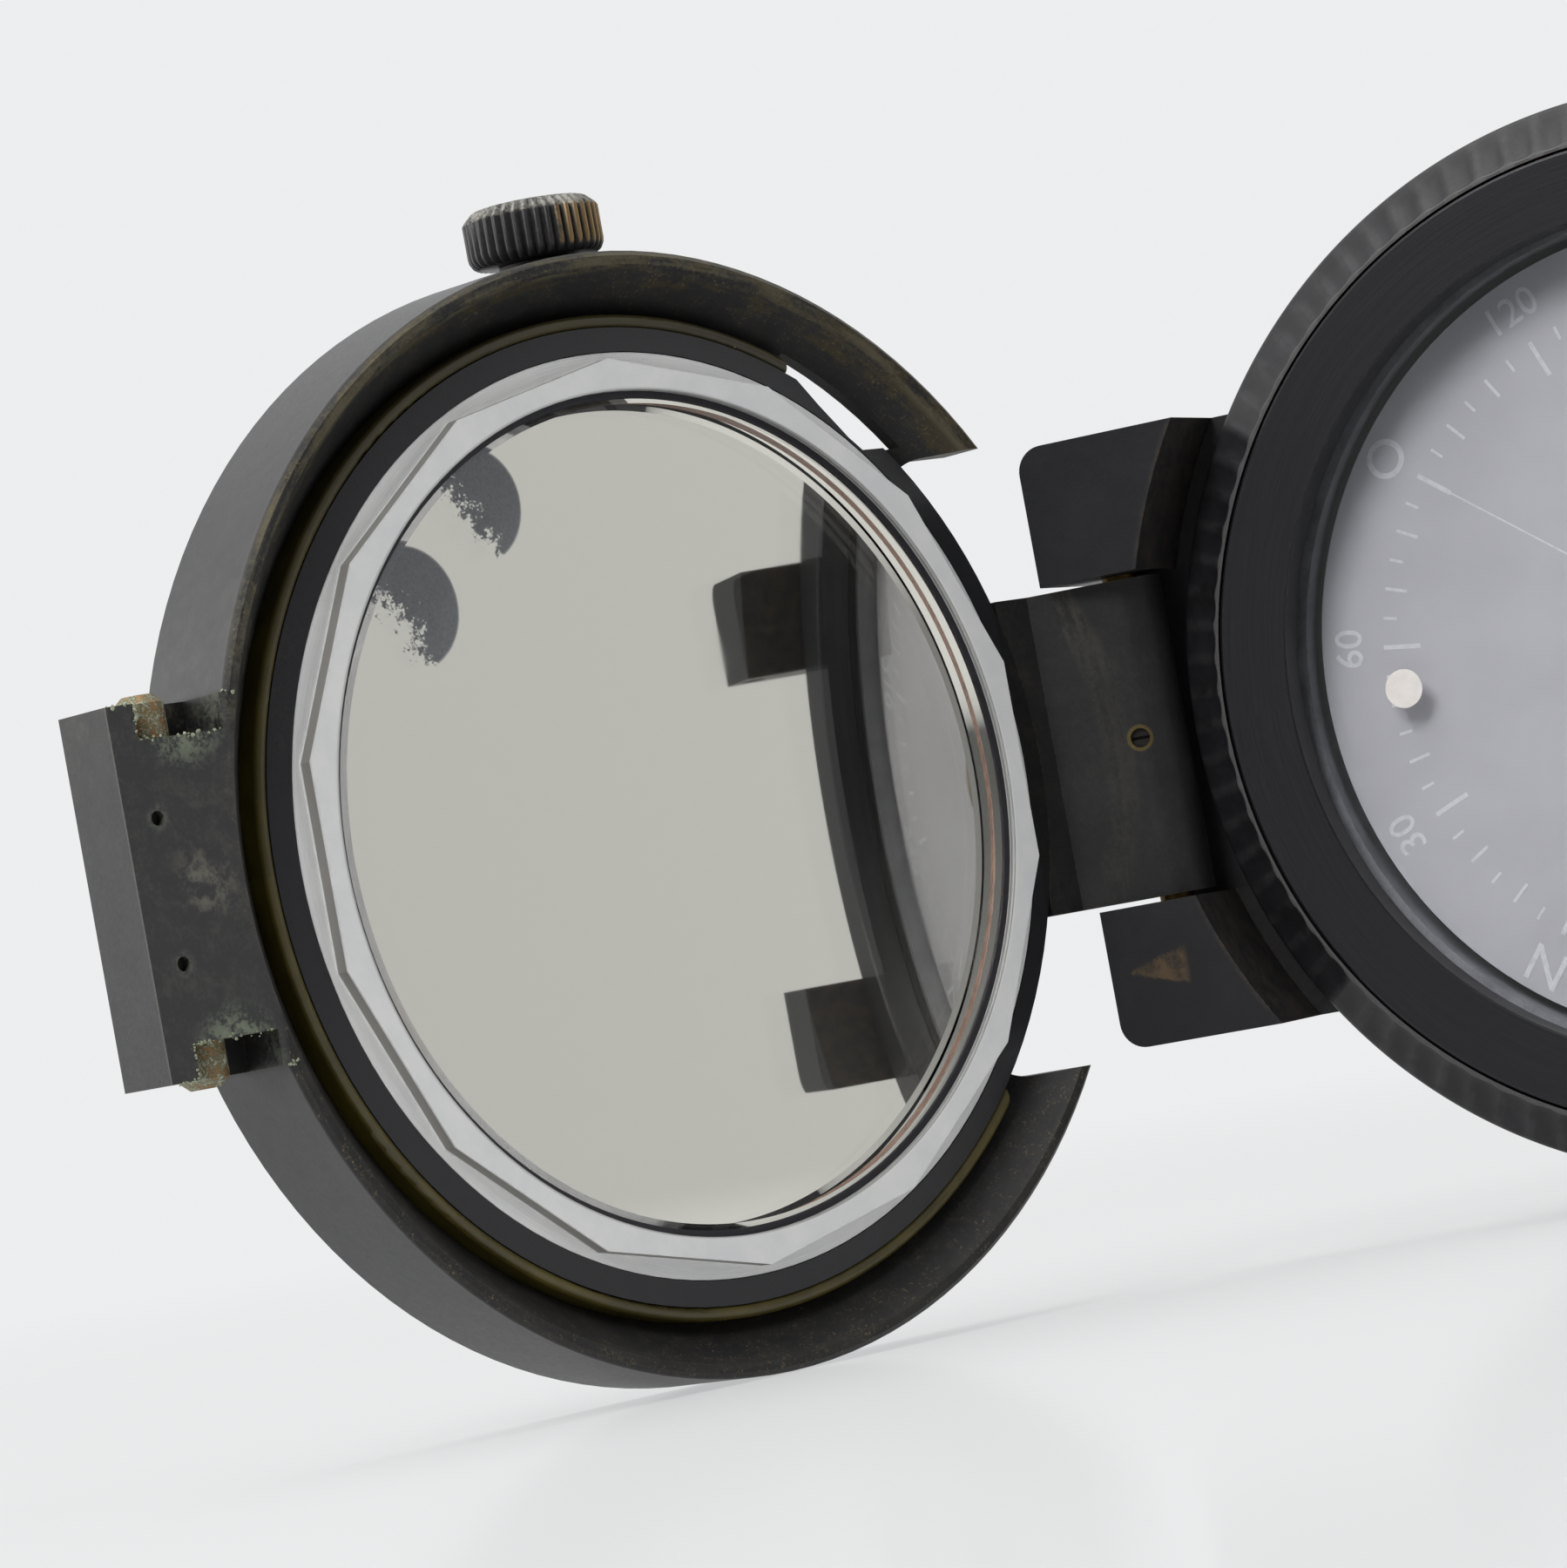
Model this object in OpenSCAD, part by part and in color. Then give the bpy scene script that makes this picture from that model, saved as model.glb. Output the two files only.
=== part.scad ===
// Folding sighting compass: a round case with a compass card under glass and a
// turning bezel, hinged to a mirror lid that snaps shut on two spring plungers.
// It stands on edge with the lid open, so the hinge pin is upright (+Z).
// The origin is the centre of the flat case back, whose outward side is +Y.
// The dial faces -Y, and the hinge is on the -X side.

/* [Case] */
// Height of the case from its flat back to the face of the top ring
case_h = 13; // [12.8:0.1:13.2]
// Outer radius of the case cup
cup_r = 26.4; // [26.3:0.05:26.4]
// Inner radius of the case cup
bore_r = 24.2; // [24.1:0.05:24.3]
// Outer radius of the flange that carries the ears
flange_r = 29.3; // [28.8:0.1:29.6]
// Thickness of the back cover
back_t = 1.2; // [1:0.1:1.3]

/* [Top ring and bezel] */
// Inner radius of the top ring, which frames the dial
window_r = 23.7; // [23.5:0.1:23.8]
// Outer radius of the top ring
top_r = 27.6; // [27.4:0.1:27.7]
// Largest radius of the turning bezel
bezel_r = 30.4; // [30:0.1:30.5]
// Depth of the crystal's upper side below the top ring's face
crystal_drop = 2.1; // [2:0.05:2.2]

/* [Ears] */
// Half the gap between the two hinge ears
hinge_gap = 9.4; // [9.3:0.1:9.6]
// Half the gap between the two latch ears
latch_gap = 10.5; // [10.4:0.05:10.8]
// Distance from the middle plane to the outer side of an ear
ear_side = 17.4; // [17:0.1:17.5]
// Distance from the dial axis to the end of an ear
ear_reach = 36.3; // [36:0.1:36.5]
// Height of an ear above the face of the top ring
ear_rise = 2.9; // [2.6:0.1:3]
// Radius of the wall turned into the ears, where the closed lid fits
ear_wall_r = 31.8; // [31.6:0.1:32]

/* [Hinge] */
// Distance from the dial axis to the hinge pin
hinge_x = 33; // [32.8:0.1:33.2]
// Depth of the hinge pin below the face of the top ring
hinge_drop = 1.2; // [1.1:0.05:1.3]
// Height of the hinge pin in front of the lid's rim
hinge_proud = 1.1; // [1.1:0.05:1.2]
// Radius of the hinge pin
pin_r = 1; // [0.9:0.05:1.1]
// Radius of the barrel on the lid's hinge tab
barrel_r = 2.3; // [2.1:0.05:2.3]
// Half the width of the lid's hinge tab
tab_half = 9.1; // [8.8:0.1:9.1]
// Angle that the lid stands open
open_angle = 116.5; // [95:0.5:120]

/* [Lid] */
// Outer radius of the lid
lid_r = 31; // [30.8:0.1:31.2]
// Depth of the lid
lid_h = 7.5; // [7.4:0.1:8]
// Half the width of the notch that clears the hinge ears
notch_half = 17.8; // [17.7:0.1:18]
// Radius of the mirror glass
mirror_r = 22.9; // [22.7:0.1:22.9]
// Thickness of the mirror glass
mirror_t = 2; // [1.6:0.1:2.2]
// Corner radius of the fourteen-sided lock ring
lock_r = 25.1; // [24.9:0.1:25.3]
// Number of sides of the lock ring
lock_sides = 14; // [10:2:18]

/* [Latch] */
// Half the length of the latch block at the lid's free edge
block_half = 9.8; // [9.6:0.1:9.9]
// Distance from the mirror axis to the end of the latch block
block_reach = 36.9; // [36.5:0.1:37]
// Radius of a latch plunger
plunger_r = 1.35; // [1.2:0.05:1.35]
// How far a plunger stands out of the latch block
plunger_out = 0.5; // [0.3:0.05:0.5]

/* [Dial] */
// Radius of the compass card
card_r = 23; // [22.5:0.1:23.2]
// Depth of the card below the face of the top ring
card_drop = 4.8; // [4.6:0.1:5]

/* [Knob] */
// Radius of the clamp knob on the lid's side
knob_r = 3.8; // [3.6:0.1:4]
// Length of the knob's knurled head
knob_len = 3.2; // [3:0.1:3.4]
// Number of ribs around the knob
knob_ribs = 38; // [24:2:44]

/* [Hidden] */
$fn = 96;
eps = 0.01;
cut = 0.5;

// Clearance of a turning or sliding fit, and of two pieces that only lie together
fit = 0.05;
gap = 0.05;

// Heights in the case, from its flat back
flange_z = 6.5;
flange_top = 9.3;
seat_z = 9.4;
neck_top = 11.5;
bezel_z = 9.55;
bezel_edge = 11;
hinge_z = case_h - hinge_drop;
ear_top = case_h + ear_rise;
crystal_top = case_h - crystal_drop;
crystal_z = seat_z + 0.3;
card_z = case_h - card_drop;
cup_z = 2.3;
cup_floor = 0.8;
shoulder_r = 21.8;
neck_bore_r = 25.65;
ear_corner = 1.5;

// Web between the hinge ears, under the barrel: the lid opens until its tab meets the web
web_x = 34.8;
web_top = 9.1;

// The four back screws
screw_ring_r = 23;
screw_r = 0.5;

// Heights in the lid, from the plane of its rim: negative is towards its back
cone_r = 27.8;
cone_w = -3.1;
groove_r = 27;
groove_w = -3.9;
flange_w = -1.4;
pocket_r = 25.6;
floor_w = -6.3;
mirror_w = -0.7;
lock_w = -0.4;
lock_seat_w = -3.2;
lock_bore_r = 23.3;
tray_w = floor_w + gap;

// Latch block and its plungers, in the lid
block_w = -4.4;
plunger_u = -33.6;
plunger_w = -1.9;
plunger_inner = 2.6;
dowel_u = -34.9;
dowel_y = 3.8;
dowel_r = 0.38;
dowel_clear = 0.06;
stroke = 0.55;

// Set screw that holds the hinge pin, square to the tab's ramp
set_screw_r = 0.55;
set_screw_top = 2;

// Clamp knob in the lid's side wall
knob_w = -4.9;
stem_r = 0.8;
knob_base = lid_r + 0.35;

// Hinge tab: its ramp and its back meet the barrel just inside its surface
meet_r = barrel_r - 0.03;
ramp_u = 28.2;
ramp_w = -1.7;
web_back = -5;
tab_root = 25.8;
ramp_d = norm([hinge_x - ramp_u, hinge_proud - ramp_w]);
ramp_angle = atan2(hinge_proud - ramp_w, hinge_x - ramp_u) + asin(meet_r / ramp_d);
ramp_len = sqrt(pow(ramp_d, 2) - pow(meet_r, 2));
back_d = norm([hinge_x - ramp_u, hinge_proud - web_back]);
back_angle = atan2(hinge_proud - web_back, hinge_x - ramp_u) - asin(meet_r / back_d);
back_len = sqrt(pow(back_d, 2) - pow(meet_r, 2));

// Stands the model up: dial axis to -Y, hinge pin to +Z
module stand() {
    rotate([90, 0, 0])
        children();
}

// Places the lid, which is drawn with its mirror axis at the origin, the hinge
// towards +X, and its rim facing +Z, at its open angle about the hinge pin
module lid_place() {
    stand()
        translate([-hinge_x, 0, hinge_z])
            rotate([0, 180 - open_angle, 0])
                translate([-hinge_x, 0, -hinge_proud])
                    children();
}

module ring(outer, inner, z0, z1) {
    translate([0, 0, z0])
        difference() {
            cylinder(r = outer, h = z1 - z0);
            translate([0, 0, -cut])
                cylinder(r = inner, h = z1 - z0 + 2 * cut);
        }
}

module disc(radius, z0, z1) {
    translate([0, 0, z0])
        cylinder(r = radius, h = z1 - z0);
}

// A pair of ears beside the +X axis, with rounded outer corners
module ear_pair(half_gap) {
    inner_x = 22;
    for (side = [-1, 1])
        mirror([0, side < 0 ? 1 : 0, 0])
            translate([0, 0, flange_z])
                linear_extrude(ear_top - flange_z)
                    union() {
                        translate([inner_x, half_gap])
                            square([ear_reach - inner_x - ear_corner, ear_side - half_gap]);
                        translate([inner_x, half_gap])
                            square([ear_reach - inner_x, ear_side - half_gap - ear_corner]);
                        translate([ear_reach - ear_corner, ear_side - ear_corner])
                            circle(ear_corner);
                    }
}

module case_body() {
    dimple_r = 0.9;
    dimple_depth = 1.2;
    dimple_z = hinge_z + hinge_proud - plunger_w;
    color([0.16, 0.16, 0.17])
        stand()
            difference() {
                union() {
                    disc(cup_r, 0, neck_top);
                    disc(flange_r, flange_z, flange_top);
                    translate([-web_x, -hinge_gap - eps, flange_z])
                        cube([web_x - cup_r, 2 * (hinge_gap + eps), web_top - flange_z]);
                    difference() {
                        union() {
                            ear_pair(latch_gap);
                            mirror([1, 0, 0])
                                ear_pair(hinge_gap);
                        }
                        disc(ear_wall_r, flange_top, ear_top + cut);
                    }
                }
                disc(bore_r, -cut, back_t + gap);
                disc(shoulder_r, 0, cup_z);
                disc(bore_r, cup_z - gap, seat_z + eps);
                disc(neck_bore_r, seat_z, neck_top + cut);
                translate([-hinge_x, 0, hinge_z])
                    rotate([90, 0, 0])
                        cylinder(r = pin_r + fit, h = 4 * ear_side, center = true);
                for (side = [-1, 1])
                    translate([-plunger_u, side * latch_gap, dimple_z])
                        rotate([90, 0, 0])
                            cylinder(r = dimple_r, h = 2 * dimple_depth, center = true);
                for (k = [0:3])
                    rotate(45 + 90 * k)
                        translate([screw_ring_r, 0, 0])
                            cylinder(r = screw_r, h = 3 * cup_z, center = true);
            }
}

module back_cover() {
    color([0.2, 0.2, 0.21])
        stand()
            difference() {
                disc(bore_r - gap, 0, back_t);
                for (k = [0:3])
                    rotate(45 + 90 * k)
                        translate([screw_ring_r, 0, -cut]) {
                            cylinder(r = screw_r + fit, h = 3);
                            cylinder(r = 1, h = cut + 0.6);
                        }
            }
}

module back_screws() {
    slot_w = 0.25;
    color([0.75, 0.62, 0.35])
        stand()
            for (k = [0:3])
                rotate(45 + 90 * k)
                    translate([screw_ring_r, 0, 0])
                        difference() {
                            union() {
                                translate([0, 0, 0.08])
                                    cylinder(r = 0.95, h = 0.5, $fn = 48);
                                translate([0, 0, 0.08])
                                    cylinder(r = screw_r - eps, h = 2, $fn = 48);
                            }
                            translate([0, 0, 0.15])
                                cube([3, slot_w, 0.4], center = true);
                        }
}

module dial_cup() {
    cup_wall = 0.6;
    color([0.55, 0.55, 0.56])
        stand()
            difference() {
                disc(bore_r - gap, cup_z, seat_z - 0.1);
                disc(bore_r - gap - cup_wall, cup_z + cup_floor, seat_z + cut);
                disc(0.6, cup_z - cut, cup_z + 2);
            }
}

module pivot_pin() {
    color([0.8, 0.8, 0.82])
        stand()
            rotate_extrude()
                polygon([
                    [0, cup_z + 0.05], [0.6 - eps, cup_z + 0.05], [0.6 - eps, cup_z + cup_floor + 0.02],
                    [1.4, cup_z + cup_floor + 0.02], [1.4, cup_z + 1.4], [0.4, cup_z + 2],
                    [0.4, card_z - 0.9], [0, card_z - 0.3]
                ]);
}

module compass_card() {
    color([0.62, 0.62, 0.64])
        stand()
            ring(card_r, 1.2, card_z - 0.4, card_z);
}

module card_magnet() {
    color([0.3, 0.3, 0.32])
        stand()
            ring(9, 6, card_z - 1.9, card_z - 0.4 - eps);
}

module jewel_cap() {
    color([0.8, 0.68, 0.36])
        stand()
            difference() {
                union() {
                    disc(1.18, card_z - 1.2, card_z + 0.3);
                    disc(2, card_z + eps, card_z + 0.6);
                }
                disc(0.55, card_z - 1.2 - cut, card_z - 0.15);
            }
}

module luminous_index() {
    color([0.85, 0.83, 0.72])
        stand()
            translate([-17.9, 0, 0])
                disc(1.1, crystal_z - 0.12, crystal_z - eps);
}

module crystal_gasket() {
    color([0.1, 0.1, 0.1])
        stand()
            ring(25.5, 24.3, seat_z + eps, crystal_z - eps);
}

module crystal() {
    color([0.8, 0.85, 0.88, 0.4])
        stand()
            disc(25.55, crystal_z, crystal_top);
}

module top_ring() {
    lip_z = neck_top + 0.1;
    color([0.17, 0.17, 0.19])
        stand()
            rotate_extrude()
                polygon([
                    [window_r, crystal_top + eps], [neck_bore_r - gap, crystal_top + eps],
                    [neck_bore_r - gap, lip_z], [top_r, lip_z], [top_r, case_h - 0.15],
                    [top_r - 0.15, case_h], [window_r + 0.1, case_h], [window_r, case_h - 0.1]
                ]);
}

module bezel_ring() {
    color([0.14, 0.14, 0.15])
        stand()
            rotate_extrude()
                polygon([
                    [cup_r + fit, bezel_z], [bezel_r - 0.2, bezel_z], [bezel_r, bezel_z + 0.2],
                    [bezel_r, bezel_edge], [top_r + 0.4, case_h - 0.15],
                    [top_r + 0.15, case_h - 0.15], [top_r + 0.15, neck_top], [cup_r + fit, neck_top]
                ]);
}

module bezel_wave_ring() {
    color([0.7, 0.7, 0.72])
        stand()
            ring(28.6, cup_r + 0.15, flange_top + 0.02, bezel_z - 0.03);
}

// Section of the lid's wall and floor, as radius and height
module lid_section() {
    polygon([
        [0, floor_w], [pocket_r, floor_w], [pocket_r, flange_w], [groove_r, flange_w - 0.3],
        [groove_r, groove_w], [cone_r, groove_w], [cone_r, cone_w], [lid_r - 0.8, 0],
        [lid_r - 0.3, 0], [lid_r, -0.3], [lid_r, 0.3 - lid_h], [lid_r - 0.3, -lid_h], [0, -lid_h]
    ]);
}

// Side view of the hinge tab's web, ramp and back, as far as the barrel's centre
module tab_section() {
    polygon([
        [tab_root, ramp_w], [ramp_u, ramp_w],
        [ramp_u + ramp_len * cos(ramp_angle), ramp_w + ramp_len * sin(ramp_angle)],
        [hinge_x, hinge_proud],
        [ramp_u + back_len * cos(back_angle), web_back + back_len * sin(back_angle)],
        [ramp_u, web_back], [tab_root, web_back]
    ]);
}

// Everything that is cut out of the lid's rim around the hinge ears
module hinge_notch() {
    relief_half = 25;
    corner = 1;
    difference() {
        union() {
            translate([15, -notch_half, -lid_h - cut])
                cube([20, 2 * notch_half, lid_h + 2 * cut]);
            translate([15, notch_half - cut, -lid_h - cut])
                cube([20, relief_half - notch_half + cut, lid_h + cut + cone_w - 0.2]);
        }
        disc(groove_r, -lid_h - 2 * cut, 2 * cut);
        for (side = [-1, 1])
            mirror([0, side < 0 ? 1 : 0, 0])
                translate([0, 0, -lid_h - 2 * cut])
                    linear_extrude(lid_h + 3 * cut)
                        difference() {
                            translate([20, notch_half - corner])
                                square([2.4, corner]);
                            translate([22.4, notch_half - corner])
                                circle(corner);
                        }
    }
}

// Crescent slot beside the upper horn of the rim, right through the lid
module sight_slot() {
    translate([0, 0, -lid_h - cut])
        linear_extrude(lid_h + 2 * cut)
            intersection() {
                difference() {
                    circle(cone_r + 0.55);
                    circle(pocket_r + 0.15);
                }
                polygon([[17.6, 18.6], [22.5, 18.6], [22.5, 21], [15, 26], [13.5, 23.9], [15.3, 21.4]]);
            }
}

module block_bores() {
    notch_w = 3.3;
    translate([plunger_u, 0, plunger_w])
        rotate([90, 0, 0])
            cylinder(r = plunger_r + fit, h = 3 * block_half, center = true);
    for (side = [-1, 1]) {
        translate([-35.2, side > 0 ? 7.9 : -12.9, -notch_w])
            cube([5.4, 5, notch_w + cut]);
        translate([dowel_u, side * dowel_y, block_w + 0.6])
            cylinder(r = dowel_r + eps, h = 6);
    }
}

module lid_frame() {
    color([0.2, 0.2, 0.21])
        lid_place()
            difference() {
                union() {
                    difference() {
                        rotate_extrude()
                            lid_section();
                        hinge_notch();
                    }
                    difference() {
                        translate([-block_reach, -block_half, block_w])
                            cube([block_reach - 29, 2 * block_half, -block_w]);
                        rotate_extrude()
                            polygon([[0, -9], [29, -9], [29, cone_w], [lid_r - 0.8, 0], [lid_r - 0.8, 1], [0, 1]]);
                    }
                }
                sight_slot();
                block_bores();
                translate([0, pocket_r - 1, knob_w])
                    rotate([-90, 0, 0])
                        cylinder(r = stem_r + fit, h = 8);
            }
}

// Hinge leaf brazed to the shell's wall, with the barrel for the pin at its end
module hinge_tab() {
    color([0.2, 0.2, 0.21])
        lid_place()
            difference() {
                union() {
                    translate([0, tab_half, 0])
                        rotate([90, 0, 0])
                            linear_extrude(2 * tab_half)
                                tab_section();
                    translate([hinge_x, tab_half, hinge_proud])
                        rotate([90, 0, 0])
                            cylinder(r = barrel_r, h = 2 * tab_half);
                }
                disc(groove_r + eps, -lid_h, 1);
                translate([hinge_x, 0, hinge_proud])
                    rotate([90, 0, 0])
                        cylinder(r = pin_r + eps, h = 4 * tab_half, center = true);
                translate([hinge_x, 0, hinge_proud])
                    rotate([0, -ramp_angle, 0])
                        cylinder(r = set_screw_r + eps, h = barrel_r + cut);
            }
}

// Rubber seal in the groove; it stops short of the hinge notch and the sight slot
module seal_ring() {
    seal_r = 27.38;
    seal_half = 0.36;
    wall_h = 1.94;
    color([0.22, 0.19, 0.1])
        lid_place()
            difference() {
                rotate_extrude()
                    translate([seal_r, 0]) {
                        translate([-seal_half, groove_w + gap])
                            square([2 * seal_half, wall_h]);
                        translate([0, groove_w + gap + wall_h])
                            circle(seal_half, $fn = 48);
                    }
                translate([20, -2 * lid_r, -lid_h])
                    cube([lid_r, 2 * lid_r, 2 * lid_h]);
                translate([13.5, 0, -lid_h])
                    cube([lid_r, lid_r, 2 * lid_h]);
            }
}

// Round threaded flange below, and a raised plate with fourteen flat sides above
module lock_ring() {
    plate_z = flange_w - 0.05;
    color([0.75, 0.76, 0.76])
        lid_place()
            difference() {
                union() {
                    disc(pocket_r - gap, lock_seat_w, plate_z);
                    translate([0, 0, plate_z - eps])
                        rotate(180 / lock_sides)
                            linear_extrude(lock_w - plate_z + eps)
                                polygon([
                                    for (k = [0:lock_sides - 1])
                                        lock_r * [cos(360 * k / lock_sides), sin(360 * k / lock_sides)]
                                ]);
                }
                disc(lock_bore_r, lock_seat_w - cut, 1);
            }
}

module mirror_glass() {
    bevel = 1;
    bevel_drop = 0.5;
    color([0.85, 0.86, 0.86])
        lid_place()
            rotate_extrude()
                polygon([
                    [0, mirror_w - mirror_t], [mirror_r, mirror_w - mirror_t],
                    [mirror_r, mirror_w - bevel_drop], [mirror_r - bevel, mirror_w], [0, mirror_w]
                ]);
}

module mirror_gasket() {
    color([0.1, 0.1, 0.1])
        lid_place()
            ring(lock_bore_r - eps, mirror_r + eps, lock_seat_w + 0.1, mirror_w - 0.15);
}

module backing_pad() {
    color([0.35, 0.3, 0.25])
        lid_place()
            disc(mirror_r - 0.4, tray_w + 1.25, mirror_w - mirror_t - gap);
}

// Shallow aluminium tray that the clamp knob's stem bears on
module mirror_tray() {
    color([0.5, 0.5, 0.52])
        lid_place()
            difference() {
                disc(pocket_r - 0.3, tray_w, lock_seat_w - gap);
                disc(mirror_r + gap, tray_w + 1.2, 0);
            }
}

module hinge_pin() {
    color([0.72, 0.6, 0.35])
        lid_place()
            translate([hinge_x, ear_side - 0.3, hinge_proud])
                rotate([90, 0, 0])
                    cylinder(r = pin_r, h = 2 * ear_side - 0.6);
}

module hinge_set_screw() {
    color([0.72, 0.58, 0.35])
        lid_place()
            translate([hinge_x, 0, hinge_proud])
                rotate([0, -ramp_angle, 0])
                    translate([0, 0, pin_r + 0.02])
                        difference() {
                            cylinder(r = set_screw_r, h = set_screw_top - pin_r, $fn = 48);
                            translate([0, 0, set_screw_top - pin_r])
                                cube([2, 0.18, 0.5], center = true);
                        }
}

// Spring plunger with a rounded nose and a side slot for its dowel; it points to +Y
module plunger() {
    nose = 0.5;
    nose_r = 0.8;
    tip = block_half + plunger_out;
    slot_start = dowel_y - dowel_r - dowel_clear;
    slot_len = stroke + 2 * (dowel_r + dowel_clear);
    slot_floor = dowel_u - plunger_u + dowel_r + dowel_clear;
    translate([plunger_u, 0, plunger_w])
        difference() {
            rotate([-90, 0, 0])
                rotate_extrude()
                    polygon([
                        [0, plunger_inner], [plunger_r, plunger_inner], [plunger_r, tip - nose],
                        [nose_r, tip], [0, tip]
                    ]);
            translate([slot_floor - 2, slot_start, -2])
                cube([2, slot_len, 4]);
        }
}

module plunger_upper() {
    color([0.72, 0.58, 0.3])
        lid_place()
            plunger();
}

module plunger_lower() {
    color([0.72, 0.58, 0.3])
        lid_place()
            mirror([0, 1, 0])
                plunger();
}

// Helical spring between the plungers, as a thin sleeve of its outer size
module plunger_spring() {
    spring_half = plunger_inner - stroke - 0.1;
    color([0.7, 0.7, 0.72])
        lid_place()
            translate([plunger_u, spring_half, plunger_w])
                rotate([90, 0, 0])
                    difference() {
                        cylinder(r = plunger_r - 0.15, h = 2 * spring_half);
                        translate([0, 0, -cut])
                            cylinder(r = plunger_r - 0.5, h = 2 * spring_half + 2 * cut);
                    }
}

module plunger_dowels() {
    color([0.5, 0.42, 0.25])
        lid_place()
            for (side = [-1, 1])
                translate([dowel_u, side * dowel_y, block_w + 0.6 + gap])
                    cylinder(r = dowel_r, h = -block_w - 1.1, $fn = 48);
}

// Knob head with ribs, its collar, and the stem that reaches the mirror tray
module clamp_knob() {
    rib = 0.22;
    stem_tip = 25.42;
    color([0.2, 0.19, 0.17])
        lid_place()
            translate([0, 0, knob_w])
                rotate([-90, 0, 0]) {
                    intersection() {
                        translate([0, 0, knob_base])
                            linear_extrude(knob_len)
                                polygon([
                                    for (k = [0:4 * knob_ribs - 1])
                                        (knob_r - (k % 4 < 2 ? 0 : rib))
                                            * [cos(90 * k / knob_ribs), sin(90 * k / knob_ribs)]
                                ]);
                        rotate_extrude()
                            polygon([
                                [0, 0], [knob_r - 0.3, knob_base], [knob_r + 0.1, knob_base + 0.4],
                                [knob_r + 0.1, knob_base + knob_len - 0.5],
                                [knob_r - 0.5, knob_base + knob_len], [0, knob_base + knob_len]
                            ]);
                    }
                    translate([0, 0, stem_tip])
                        cylinder(r = stem_r, h = knob_base - stem_tip + eps);
                }
}

module knob_washer() {
    color([0.3, 0.28, 0.25])
        lid_place()
            translate([0, 0, knob_w])
                rotate([-90, 0, 0])
                    ring(2.2, stem_r + fit, lid_r + 0.01, knob_base - gap);
}

case_body();
back_cover();
back_screws();
dial_cup();
pivot_pin();
compass_card();
card_magnet();
jewel_cap();
luminous_index();
crystal_gasket();
crystal();
top_ring();
bezel_ring();
bezel_wave_ring();
lid_frame();
hinge_tab();
seal_ring();
lock_ring();
mirror_glass();
mirror_gasket();
backing_pad();
mirror_tray();
hinge_pin();
hinge_set_screw();
plunger_upper();
plunger_lower();
plunger_spring();
plunger_dowels();
clamp_knob();
knob_washer();
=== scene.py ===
import math
import random

import bmesh
import bpy
from mathutils import Matrix, Vector


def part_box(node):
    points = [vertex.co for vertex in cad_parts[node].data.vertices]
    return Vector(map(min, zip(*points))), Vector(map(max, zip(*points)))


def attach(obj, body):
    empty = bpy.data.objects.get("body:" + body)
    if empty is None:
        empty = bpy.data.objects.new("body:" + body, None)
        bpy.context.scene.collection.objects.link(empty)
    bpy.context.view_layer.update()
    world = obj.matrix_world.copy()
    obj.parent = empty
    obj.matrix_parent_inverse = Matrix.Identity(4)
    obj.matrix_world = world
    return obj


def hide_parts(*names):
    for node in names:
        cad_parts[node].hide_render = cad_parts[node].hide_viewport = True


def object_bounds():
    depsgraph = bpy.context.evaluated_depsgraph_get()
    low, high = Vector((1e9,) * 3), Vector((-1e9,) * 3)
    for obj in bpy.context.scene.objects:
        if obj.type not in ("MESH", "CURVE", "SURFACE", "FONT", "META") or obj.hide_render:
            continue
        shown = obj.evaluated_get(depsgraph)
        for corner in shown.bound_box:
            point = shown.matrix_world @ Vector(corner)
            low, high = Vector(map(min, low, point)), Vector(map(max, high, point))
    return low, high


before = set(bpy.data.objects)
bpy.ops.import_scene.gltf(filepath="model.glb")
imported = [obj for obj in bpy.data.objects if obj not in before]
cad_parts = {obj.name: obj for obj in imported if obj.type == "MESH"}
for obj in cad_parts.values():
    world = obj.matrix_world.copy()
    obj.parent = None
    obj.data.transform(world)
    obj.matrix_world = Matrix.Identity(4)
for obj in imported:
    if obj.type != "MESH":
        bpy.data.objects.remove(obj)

cad_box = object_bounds()

MM = 0.001
TAU = 2 * math.pi
OPEN_ANGLE = math.radians(116.5)
HINGE_REACH = 33.0
HINGE_PROUD = 1.1

pin_low, pin_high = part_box("hinge_pin")
UPRIGHT = Matrix.Rotation(math.pi / 2, 4, "X")
SCALE = Matrix.Scale(MM, 4)
CASE = UPRIGHT @ SCALE
LID = (
    Matrix.Translation((pin_low + pin_high) / 2)
    @ UPRIGHT
    @ Matrix.Rotation(math.pi - OPEN_ANGLE, 4, "Y")
    @ Matrix.Translation(Vector((-HINGE_REACH, 0, -HINGE_PROUD)) * MM)
    @ SCALE
)

# Sizes of the pieces that are made here
BEZEL_RIBS = 96
BEZEL_RIB_DEPTH = 0.2
KNOB_RIBS = 38
KNOB_RIB_DEPTH = 0.3
KNOB_RADIUS = 3.8
KNOB_BASE = 31.35
KNOB_TOP = 34.55
KNOB_HEIGHT = -4.9
MIRROR_RADIUS = 22.88
MIRROR_FRONT = -0.7
MIRROR_BACK = -2.66
CARD_FACE = 8.2
NORTH_ANGLE = -127.6


def rgb(red, green, blue):
    """A screen colour, 0 to 255, as the linear colour that a shader takes."""
    def linear(c):
        c /= 255
        return c / 12.92 if c <= 0.04045 else ((c + 0.055) / 1.055) ** 2.4
    return (linear(red), linear(green), linear(blue), 1.0)


# ---------------------------------------------------------------- materials

def feed(tree, value, socket):
    """Links a field to a shader socket, or sets a plain number or colour on it."""
    if isinstance(value, Field):
        tree.links.new(value.socket, socket)
    else:
        socket.default_value = value


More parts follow.
